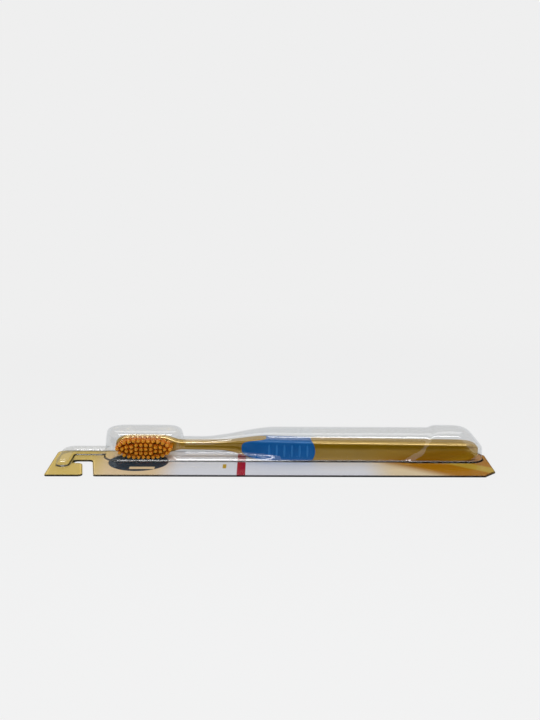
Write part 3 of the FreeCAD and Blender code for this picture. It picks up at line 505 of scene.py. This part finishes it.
nylon = orange_nylon()
bristle_wander = random.Random(WANDER_SEED)
for number, (column, row) in enumerate(mirrored(RING_SHARES + BLOCK_SHARES), start=1):
    tuft = bmesh.new()
    turned = bristle_wander.uniform(0, math.pi / 3)
    for ring, count, lean, drop in BRISTLE_RINGS:
        for step in range(count):
            turn = turned + math.tau * step / count + bristle_wander.uniform(-TURN_WANDER, TURN_WANDER)
            splay = lean + bristle_wander.uniform(-SPLAY_WANDER, SPLAY_WANDER)
            shorter = drop + bristle_wander.uniform(0, LENGTH_WANDER)
            add_bristle(tuft, turn, TUFT_RADIUS * ring, splay, shorter)
    across = row * ROW_PITCH
    flare = math.atan(FLARE_SHARE * across / TUFT_LENGTH)
    root = Matrix.Translation((TUFT_FIELD_MIDDLE + column * COLUMN_PITCH, TUFT_LENGTH, across))
    root = root @ Matrix.Rotation(math.pi / 2 - flare, 4, "X")
    bmesh.ops.transform(tuft, matrix=brush_place @ root, verts=tuft.verts)
    piece_from(tuft, f"bristles_{number:02d}", nylon, "brush", "bristle", f"tuft_{number:02d}")

# Blister: clear film, heated and drawn over a mould with a tall bubble for the head, a ridge over the
# neck, a long bubble for grip and handle, a bump over the tail and a hooked ridge on the hanger.
FILM = 0.4
DRAFT = math.tan(math.radians(4))
BUBBLE_LEFT, BUBBLE_RIGHT, BUBBLE_FRONT, BUBBLE_BACK = -84.8, 107.4, -1.7, 15.8
HEAD_RIGHT, HEAD_HEIGHT, HEAD_CORNER, HEAD_RIM = -43.6, 16.65, 8.6, 4
NECK_FRONT, NECK_HEIGHT = 4.7, 10.45
FLARE_LEFT, FLARE_RIGHT, FLARE_RUN = -23, 4, 6
ROOF_LOW, ROOF_HIGH, HANDLE_RIGHT, HANDLE_HEIGHT, HANDLE_RIM = -33, 0, 86.7, 15.65, 3
BUMP_LEFT, BUMP_PROUD, BUMP_HEIGHT, BUMP_CORNER, BUMP_RIM = 66, 0.7, 16.75, 6.2, 3.4
RAMP_LENGTH, RAMP_HEIGHT, STEP_LENGTH, END_RUN, END_DROP = 10.5, 6.3, 5, 7.6, 9.2
SHELF_HEIGHT, SHELF_RIM, SHELF_INSET = 3.1, 1.2, 0.15
EDGE_STEP, EDGE_WIDTH, EDGE_FRONT = 0.9, 0.9, 12.6
RIDGE_LEFT, RIDGE_WIDTH, RIDGE_FRONT, RIDGE_RIGHT, RIDGE_HEIGHT = -107.2, 6.6, -9, -67.8, 4.5
RIDGE_CORNERS = (2.8, 2.8, 1.2, 0, 0, 6.5)
CARD_HALF_LENGTH, CARD_HALF_WIDTH = 110.6, 19
FLANGE_OUTSET, FLANGE_DEPTH = 0.35, 3
FILM_GRAIN, FLAT_BELOW, FLAT_FACING = 0.58, 1.9, 0.9
DRAPE_STEPS, DOME_STEPS, LEVEL_STEPS = 6, 40, 24
DOME_START = NECK_HEIGHT + 1.4
FILM_WALL = 0.00032
# The film's own slight grey; the near black of its cut edge is painted shade.
FILM_TINT, CUT_EDGE_PAINTED_SHADE = (0.913, 0.918, 0.921), (0.10, 0.11, 0.12)
# Painted shade in the folds at the foot of the walls, and the handle's painted contact shadow where it lies
# behind the fold.
FOLD_PAINTED_SHADE, HANDLE_PAINTED_SHADOW = (0.20, 0.20, 0.20), (0.04, 0.04, 0.04)
# Heights and places on the film, in metres, and tilts as the upward share of the surface normal
CUT_EDGE_FADE, CUT_EDGE_TILTS = (0.00113, 0.00106), (0.95, 0.8)
FOLD_HEIGHTS, FOLD_SOFT, FOLD_TILTS, TILT_SOFT = (0.0015, 0.0024), 0.0002, (0.25, 0.85), 0.1
BESIDE_HANDLE = (0.0, 0.016)
FLANGE_SHINE, SHINE_CLIMB = 0.25, (0.0014, 0.0022)
FLAT_SHINE, EDGE_ON_SHINE = 0.065, 0.2


def rounded_edges(bm, edges, run):
    """Round some edges of a mould form."""
    bmesh.ops.bevel(
        bm, geom=edges, offset=run, offset_type="OFFSET", affect="EDGES", segments=6, profile=0.5,
        material=-1, clamp_overlap=True,
    )


def drawn_form(outline, corners, height, rim):
    """One form of the mould: a rounded outline drawn up with draft, its rim rounded."""
    bm = bmesh.new()
    spots = [bm.verts.new((x, y, CARD_TOP)) for x, y in outline]
    bm.faces.new(spots)
    for spot, run in zip(spots, corners):
        if run > 0:
            bmesh.ops.bevel(
                bm, geom=[spot], offset=run, offset_type="OFFSET", affect="VERTICES",
                segments=8, profile=0.5, material=-1,
            )
    bmesh.ops.inset_region(
        bm, faces=bm.faces[:], thickness=height * DRAFT, depth=height,
        use_boundary=True, use_even_offset=True,
    )
    roof = max(bm.faces, key=lambda face: face.calc_center_median().z)
    rounded_edges(bm, roof.edges[:], rim)
    bmesh.ops.holes_fill(bm, edges=[edge for edge in bm.edges if edge.is_boundary])
    bmesh.ops.recalc_face_normals(bm, faces=bm.faces)
    return bm


def rectangle(left, front, right, back):
    """Corner points of a rectangle, front left first."""
    return [(left, front), (right, front), (right, back), (left, back)]


def handle_cover():
    """The ridge over the neck and the long bubble, whose roof climbs from one to the other."""
    neck_left = HEAD_RIGHT - 2 * HEAD_CORNER
    outline = [
        (neck_left, NECK_FRONT), (FLARE_LEFT, NECK_FRONT), (FLARE_RIGHT, BUBBLE_FRONT),
        (HANDLE_RIGHT, BUBBLE_FRONT), (HANDLE_RIGHT, BUBBLE_BACK), (neck_left, BUBBLE_BACK),
    ]
    bm = drawn_form(outline, (0, FLARE_RUN, FLARE_RUN, 0, 0, 0), HANDLE_HEIGHT, HANDLE_RIM)
    for station in spread(ROOF_LOW, ROOF_HIGH, 12):
        everything = bm.verts[:] + bm.edges[:] + bm.faces[:]
        bmesh.ops.bisect_plane(bm, geom=everything, plane_co=(station, 0, 0), plane_no=(1, 0, 0))
    for vert in bm.verts:
        share = min(1, max(0, (vert.co.x - ROOF_LOW) / (ROOF_HIGH - ROOF_LOW)))
        climb = (share + ease(share)) / 2
        height_share = (NECK_HEIGHT + (HANDLE_HEIGHT - NECK_HEIGHT) * climb) / HANDLE_HEIGHT
        vert.co.z = CARD_TOP + (vert.co.z - CARD_TOP) * height_share
    return bm


def tail_bump():
    """The bump over the tail: a flat ramp, a steep step, the roof and a sloping end, leaned in by draft."""
    top = CARD_TOP + BUMP_HEIGHT
    knee = BUMP_LEFT + RAMP_LENGTH
    profile = [
        (BUMP_LEFT, CARD_TOP), (knee, CARD_TOP + RAMP_HEIGHT), (knee + STEP_LENGTH, top),
        (BUBBLE_RIGHT - END_RUN, top), (BUBBLE_RIGHT, top - END_DROP), (BUBBLE_RIGHT, CARD_TOP),
    ]
    middle = (BUBBLE_FRONT + BUBBLE_BACK) / 2
    half_depth = (BUBBLE_BACK - BUBBLE_FRONT) / 2 + BUMP_PROUD
    bm = bmesh.new()
    sides = []
    for sign in (-1, 1):
        reaches = [half_depth - DRAFT * (z - CARD_TOP) for x, z in profile]
        spots = [bm.verts.new((x, middle + sign * reach, z)) for (x, z), reach in zip(profile, reaches)]
        bm.faces.new(spots)
        sides.append([edge for spot in spots for edge in spot.link_edges])
    bmesh.ops.bridge_loops(bm, edges=list(set(sides[0] + sides[1])))
    bmesh.ops.recalc_face_normals(bm, faces=bm.faces)
    corners = []
    for edge in bm.edges:
        ends = [vert.co for vert in edge.verts]
        lengthwise = abs(ends[0].y - ends[1].y) <= half_depth
        past_the_roof = min(end.x for end in ends) > BUBBLE_RIGHT - END_RUN - FILM
        off_the_card = max(end.z for end in ends) > CARD_TOP + FILM
        if lengthwise and past_the_roof and off_the_card:
            corners.append(edge)
    rounded_edges(bm, corners, BUMP_CORNER)
    rims = [edge for edge in bm.edges if all(vert.co.z > top - FILM / 2 for vert in edge.verts)]
    rounded_edges(bm, rims, BUMP_RIM)
    return bm


def flange_sheet():
    """The flat flange: the card's own die-cut outline as a thick slab, grown by what the draping eases."""
    bm = bmesh.new()
    bm.from_mesh(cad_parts["backing_card"].data)
    bmesh.ops.scale(bm, vec=(1 / MILLIMETRE,) * 3, verts=bm.verts)
    bmesh.ops.remove_doubles(bm, verts=bm.verts, dist=0.001)
    bm.normal_update()
    grown = {}
    for vert in bm.verts:
        walls = [face.normal for face in vert.link_faces if abs(face.normal.z) < 0.1]
        grown[vert] = sum(walls, Vector()).normalized() * FLANGE_OUTSET
    for vert, shift in grown.items():
        vert.co += shift
        vert.co.z = CARD_TOP + FILM if vert.co.z > CARD_TOP / 2 else -FLANGE_DEPTH
    bmesh.ops.recalc_face_normals(bm, faces=bm.faces)
    return bm


def one_minus(tree, socket):
    """What a value leaves of one."""
    rest = add_node(tree, "ShaderNodeMath", operation="SUBTRACT")
    rest.inputs[0].default_value = 1
    tree.links.new(socket, rest.inputs[1])
    return rest.outputs["Value"]


def clear_film():
    """Clear film: a slight grey, with painted shade on its cut edge and on its folds, darkest beside the
    handle, and a gloss that grows edge-on.
    """
    material, tree = new_material("clear_film")
    output = add_node(tree, "ShaderNodeOutputMaterial")
    see_through = add_node(tree, "ShaderNodeBsdfTransparent")
    _, axes = object_axes(tree)
    # The cut edge of the film is tinted near black: painted shade.
    edge_low = ramp_between(tree, axes.outputs["Z"], *CUT_EDGE_FADE)
    facing = add_node(tree, "ShaderNodeSeparateXYZ")
    side = add_node(tree, "ShaderNodeNewGeometry")
    tree.links.new(side.outputs["Normal"], facing.inputs["Vector"])
    level_share = combine(tree, "ABSOLUTE", facing.outputs["Z"], 0)
    upright = ramp_between(tree, level_share, *CUT_EDGE_TILTS)
    cut_edge = combine(tree, "MULTIPLY", edge_low, upright)
    tint = blend_colour(tree, cut_edge, FILM_TINT, CUT_EDGE_PAINTED_SHADE)
    # A band at the foot of the walls is tinted dark as painted shade of the fold; beside the handle it is
    # darker, a painted contact shadow, and its gloss is taken out.
    fold = combine(
        tree, "MULTIPLY", band(tree, axes.outputs["Z"], *FOLD_HEIGHTS, FOLD_SOFT),
        band(tree, facing.outputs["Z"], *FOLD_TILTS, TILT_SOFT),
    )
    beside_handle = ramp_between(tree, axes.outputs["X"], *BESIDE_HANDLE)
    fold_painted_shade = blend_colour(tree, beside_handle, FOLD_PAINTED_SHADE, HANDLE_PAINTED_SHADOW)
    tint = blend_colour(tree, fold, tint, fold_painted_shade)
    tree.links.new(tint, see_through.inputs["Color"])
    gloss = add_node(tree, "ShaderNodeBsdfGlossy")
    gloss.inputs["Roughness"].default_value = 0.05
    gloss.inputs["Color"].default_value = (1, 1, 1, 1)
    edge_on = add_node(tree, "ShaderNodeFresnel")
    edge_on.inputs["IOR"].default_value = 1.5
    shine = combine(tree, "MULTIPLY", edge_on.outputs["Fac"], EDGE_ON_SHINE)
    shine = combine(tree, "ADD", shine, FLAT_SHINE)
    raised = add_node(tree, "ShaderNodeMapRange", interpolation_type="SMOOTHSTEP")
    raised.inputs["From Min"].default_value, raised.inputs["From Max"].default_value = SHINE_CLIMB
    raised.inputs["To Min"].default_value = FLANGE_SHINE
    tree.links.new(axes.outputs["Z"], raised.inputs["Value"])
    path = add_node(tree, "ShaderNodeLightPath")
    bounced = combine(tree, "MAXIMUM", path.outputs["Is Diffuse Ray"], path.outputs["Is Glossy Ray"])
    shine = combine(tree, "MULTIPLY", shine, raised.outputs["Result"])
    shine = combine(tree, "MULTIPLY", shine, one_minus(tree, combine(tree, "MULTIPLY", fold, beside_handle)))
    shine = combine(tree, "MULTIPLY", shine, one_minus(tree, side.outputs["Backfacing"]))
    shine = combine(tree, "MULTIPLY", shine, one_minus(tree, bounced))
    mix = add_node(tree, "ShaderNodeMixShader")
    tree.links.new(shine, mix.inputs["Fac"])
    tree.links.new(see_through.outputs["BSDF"], mix.inputs[1])
    tree.links.new(gloss.outputs["BSDF"], mix.inputs[2])
    tree.links.new(mix.outputs["Shader"], output.inputs["Surface"])
    return material


def soften(bm, verts, steps, sideways):
    """Smooth some points of the film, upward only or sideways too."""
    for step in range(steps):
        bmesh.ops.smooth_vert(
            bm, verts=verts, factor=0.5, use_axis_x=sideways, use_axis_y=sideways, use_axis_z=True,
        )


film_forms = [
    flange_sheet(),
    drawn_form(
        rectangle(
            BUBBLE_LEFT - EDGE_WIDTH, BUBBLE_FRONT - EDGE_FRONT, BUBBLE_RIGHT + EDGE_WIDTH,
            BUBBLE_BACK + EDGE_WIDTH,
        ),
        (SHELF_RIM,) * 4, EDGE_STEP, EDGE_STEP / 4,
    ),
    drawn_form(
        rectangle(
            BUBBLE_LEFT + SHELF_INSET, BUBBLE_FRONT + SHELF_INSET, BUBBLE_RIGHT - SHELF_INSET,
            BUBBLE_BACK - SHELF_INSET,
        ),
        (HEAD_CORNER, BUMP_CORNER, BUMP_CORNER, HEAD_CORNER), SHELF_HEIGHT, SHELF_RIM,
    ),
    drawn_form(
        rectangle(BUBBLE_LEFT, BUBBLE_FRONT, HEAD_RIGHT, BUBBLE_BACK),
        (HEAD_CORNER,) * 4, HEAD_HEIGHT, HEAD_RIM,
    ),
    handle_cover(),
    tail_bump(),
    drawn_form(
        [
            (RIDGE_LEFT, RIDGE_FRONT), (RIDGE_LEFT + RIDGE_WIDTH, RIDGE_FRONT),
            (RIDGE_LEFT + RIDGE_WIDTH, BUBBLE_BACK - RIDGE_WIDTH),
            (RIDGE_RIGHT, BUBBLE_BACK - RIDGE_WIDTH), (RIDGE_RIGHT, BUBBLE_BACK), (RIDGE_LEFT, BUBBLE_BACK),
        ],
        RIDGE_CORNERS, RIDGE_HEIGHT, SHELF_RIM,
    ),
]
mould_mesh = bpy.data.meshes.new("film_mould")
mould = bmesh.new()
for form in film_forms:
    form.to_mesh(mould_mesh)
    form.free()
    mould.from_mesh(mould_mesh)
mould.to_mesh(mould_mesh)
mould.free()
mould_piece = bpy.data.objects.new("film_mould", mould_mesh)
bpy.context.scene.collection.objects.link(mould_piece)
drape = mould_piece.modifiers.new("drape", "REMESH")
drape.mode = "VOXEL"
drape.voxel_size = FILM_GRAIN
draped = mould_piece.evaluated_get(bpy.context.evaluated_depsgraph_get())
film = bmesh.new()
film.from_mesh(draped.to_mesh())
draped.to_mesh_clear()
bpy.data.objects.remove(mould_piece)
bpy.data.meshes.remove(mould_mesh)
# The film eases over every edge of the mould, most of all over the top of the head. It ends at the
# card's outline, and its low parts are flat.
soften(film, film.verts, DRAPE_STEPS, sideways=True)
dome = [vert for vert in film.verts if vert.co.x < HEAD_RIGHT and vert.co.z > DOME_START]
soften(film, dome, DOME_STEPS, sideways=True)
for vert in film.verts:
    vert.co.x = min(CARD_HALF_LENGTH, max(-CARD_HALF_LENGTH, vert.co.x))
    vert.co.y = min(CARD_HALF_WIDTH, max(-CARD_HALF_WIDTH, vert.co.y))
film.normal_update()
low = [vert for vert in film.verts if CARD_TOP + FILM * 0.8 < vert.co.z < FLAT_BELOW]
soften(film, [vert for vert in low if vert.normal.z > FLAT_FACING], LEVEL_STEPS, sideways=False)
bmesh.ops.bisect_plane(
    film, geom=film.verts[:] + film.edges[:] + film.faces[:], plane_co=(0, 0, CARD_TOP + FILM / 8),
    plane_no=(0, 0, 1), clear_inner=True,
)
blister_film = piece_from(film, "blister_film", clear_film(), "blister", "clear_film", "blister")
film_wall = blister_film.modifiers.new("film_wall", "SOLIDIFY")
film_wall.thickness = FILM_WALL
film_wall.offset = -1

# Table and light: a plain pale sheet under a large soft box overhead and a strip light in front, with a
# weak even fill. A black flag lies in front of the pack and shows only in the gloss of the plastic.
PALE, FELT_BLACK = (0.863, 0.863, 0.863), (0.004, 0.004, 0.004)
FILL_TINT, FILL_STRENGTH = (0.96, 0.98, 1.0), 0.32
FLOOR_HALF_WIDTH = 12
SHADOW_REACH, GLOW_BY_PACK = 0.45, 0.8
FLAG_NEAR, FLAG_FAR, FLAG_HALF_WIDTH, FLAG_HEIGHT = -0.0215, -1.5, 1.5, 0.0004
OVERHEAD_PLACE, OVERHEAD_SIZE, OVERHEAD_POWER = (0, 0.25, 1.2), (1.4, 1.0), 7.5
STRIP_PLACE, STRIP_SIZE, STRIP_POWER = (0, -1.0, 0.66), (1.2, 0.36), 10.5


def seen_directly(tree):
    """One for rays from the camera, in a gloss or through glass; nought for rays that only bring light."""
    path = add_node(tree, "ShaderNodeLightPath")
    seen = combine(tree, "MAXIMUM", path.outputs["Is Camera Ray"], path.outputs["Is Glossy Ray"])
    return combine(tree, "MAXIMUM", seen, path.outputs["Is Transmission Ray"])


def table_sheet():
    """Pale seamless sheet that keeps a faint shadow."""
    material, tree = new_material("table_sheet")
    output = add_node(tree, "ShaderNodeOutputMaterial")
    matt = add_node(tree, "ShaderNodeBsdfDiffuse")
    matt.inputs["Color"].default_value = (*PALE, 1)
    glow = add_node(tree, "ShaderNodeEmission")
    glow.inputs["Color"].default_value = (*PALE, 1)
    place, _ = object_axes(tree)
    away = add_node(tree, "ShaderNodeVectorMath", operation="LENGTH")
    tree.links.new(place, away.inputs[0])
    glow_share = add_node(tree, "ShaderNodeMapRange", interpolation_type="SMOOTHSTEP")
    glow_share.inputs["From Min"].default_value = SHADOW_REACH / 3
    glow_share.inputs["From Max"].default_value = SHADOW_REACH
    glow_share.inputs["To Min"].default_value = GLOW_BY_PACK
    tree.links.new(away.outputs["Value"], glow_share.inputs["Value"])
    mix = add_node(tree, "ShaderNodeMixShader")
    glowing = combine(tree, "MULTIPLY", seen_directly(tree), glow_share.outputs["Result"])
    tree.links.new(glowing, mix.inputs["Fac"])
    tree.links.new(matt.outputs["BSDF"], mix.inputs[1])
    tree.links.new(glow.outputs["Emission"], mix.inputs[2])
    tree.links.new(mix.outputs["Shader"], output.inputs["Surface"])
    return material


def black_felt():
    """Matt black felt."""
    material, tree = new_material("black_felt")
    surface = opaque_surface(tree)
    surface.inputs["Base Color"].default_value = (*FELT_BLACK, 1)
    surface.inputs["Roughness"].default_value = 1
    surface.inputs["Specular IOR Level"].default_value = 0
    return material


def level_sheet(name, left, front, right, back, height, material):
    """A flat sheet of the studio, which is no part of the object."""
    bm = bmesh.new()
    bm.faces.new([bm.verts.new((x, y, height)) for x, y in rectangle(left, front, right, back)])
    mesh = bpy.data.meshes.new(name)
    bm.to_mesh(mesh)
    bm.free()
    mesh.materials.append(material)
    sheet = bpy.data.objects.new(name, mesh)
    bpy.context.scene.collection.objects.link(sheet)
    return sheet


level_sheet(
    "table_top", -FLOOR_HALF_WIDTH, -FLOOR_HALF_WIDTH, FLOOR_HALF_WIDTH, FLOOR_HALF_WIDTH, 0, table_sheet(),
)
flag = level_sheet(
    "black_flag", -FLAG_HALF_WIDTH, FLAG_FAR, FLAG_HALF_WIDTH, FLAG_NEAR, FLAG_HEIGHT, black_felt(),
)
flag.visible_camera = False
flag.visible_diffuse = False
flag.visible_transmission = False
flag.visible_volume_scatter = False
flag.visible_shadow = False

world = bpy.data.worlds.new("studio")
bpy.context.scene.world = world
world.use_nodes = True
sky = world.node_tree
sky.nodes.clear()
world_output = add_node(sky, "ShaderNodeOutputWorld")
backdrop = add_node(sky, "ShaderNodeBackground")
backdrop.inputs["Color"].default_value = (*PALE, 1)
fill = add_node(sky, "ShaderNodeBackground")
fill.inputs["Color"].default_value = (*FILL_TINT, 1)
fill.inputs["Strength"].default_value = FILL_STRENGTH
world_mix = add_node(sky, "ShaderNodeMixShader")
sky.links.new(seen_directly(sky), world_mix.inputs["Fac"])
sky.links.new(fill.outputs["Background"], world_mix.inputs[1])
sky.links.new(backdrop.outputs["Background"], world_mix.inputs[2])
sky.links.new(world_mix.outputs["Shader"], world_output.inputs["Surface"])


def soft_box(name, place, size, power):
    """A rectangular soft light at a place, turned to the pack."""
    lamp = bpy.data.lights.new(name, "AREA")
    lamp.shape = "RECTANGLE"
    lamp.size, lamp.size_y = size
    lamp.energy = power
    holder = bpy.data.objects.new(name, lamp)
    bpy.context.scene.collection.objects.link(holder)
    holder.location = place
    holder.rotation_euler = (Vector() - Vector(place)).to_track_quat("-Z", "Y").to_euler()


soft_box("overhead_soft_box", OVERHEAD_PLACE, OVERHEAD_SIZE, OVERHEAD_POWER)
soft_box("front_strip_light", STRIP_PLACE, STRIP_SIZE, STRIP_POWER)

# Camera: a standing view over the pack's front edge, as the photograph was taken.
CAMERA_PLACE = (-0.00498, -0.48111, 0.1639)
CAMERA_PITCH, CAMERA_YAW, CAMERA_ROLL = math.radians(12.859), math.radians(-0.496), math.radians(0.316)
right = Vector((math.cos(CAMERA_YAW), math.sin(CAMERA_YAW), 0))
forward = Vector((
    -math.sin(CAMERA_YAW) * math.cos(CAMERA_PITCH), math.cos(CAMERA_YAW) * math.cos(CAMERA_PITCH),
    -math.sin(CAMERA_PITCH),
))
upright = right.cross(forward)
turned_right = math.cos(CAMERA_ROLL) * right + math.sin(CAMERA_ROLL) * upright
turned_up = -math.sin(CAMERA_ROLL) * right + math.cos(CAMERA_ROLL) * upright
camera_data = bpy.data.cameras.new("photo_camera")
camera_data.lens = 50
camera_data.sensor_width = 36
camera_data.clip_start = 0.01
camera = bpy.data.objects.new("photo_camera", camera_data)
bpy.context.scene.collection.objects.link(camera)
camera.matrix_world = Matrix.Translation(CAMERA_PLACE) @ Matrix(
    (turned_right, turned_up, -forward)
).transposed().to_4x4()
bpy.context.scene.camera = camera
bpy.context.scene.view_settings.view_transform = "Standard"
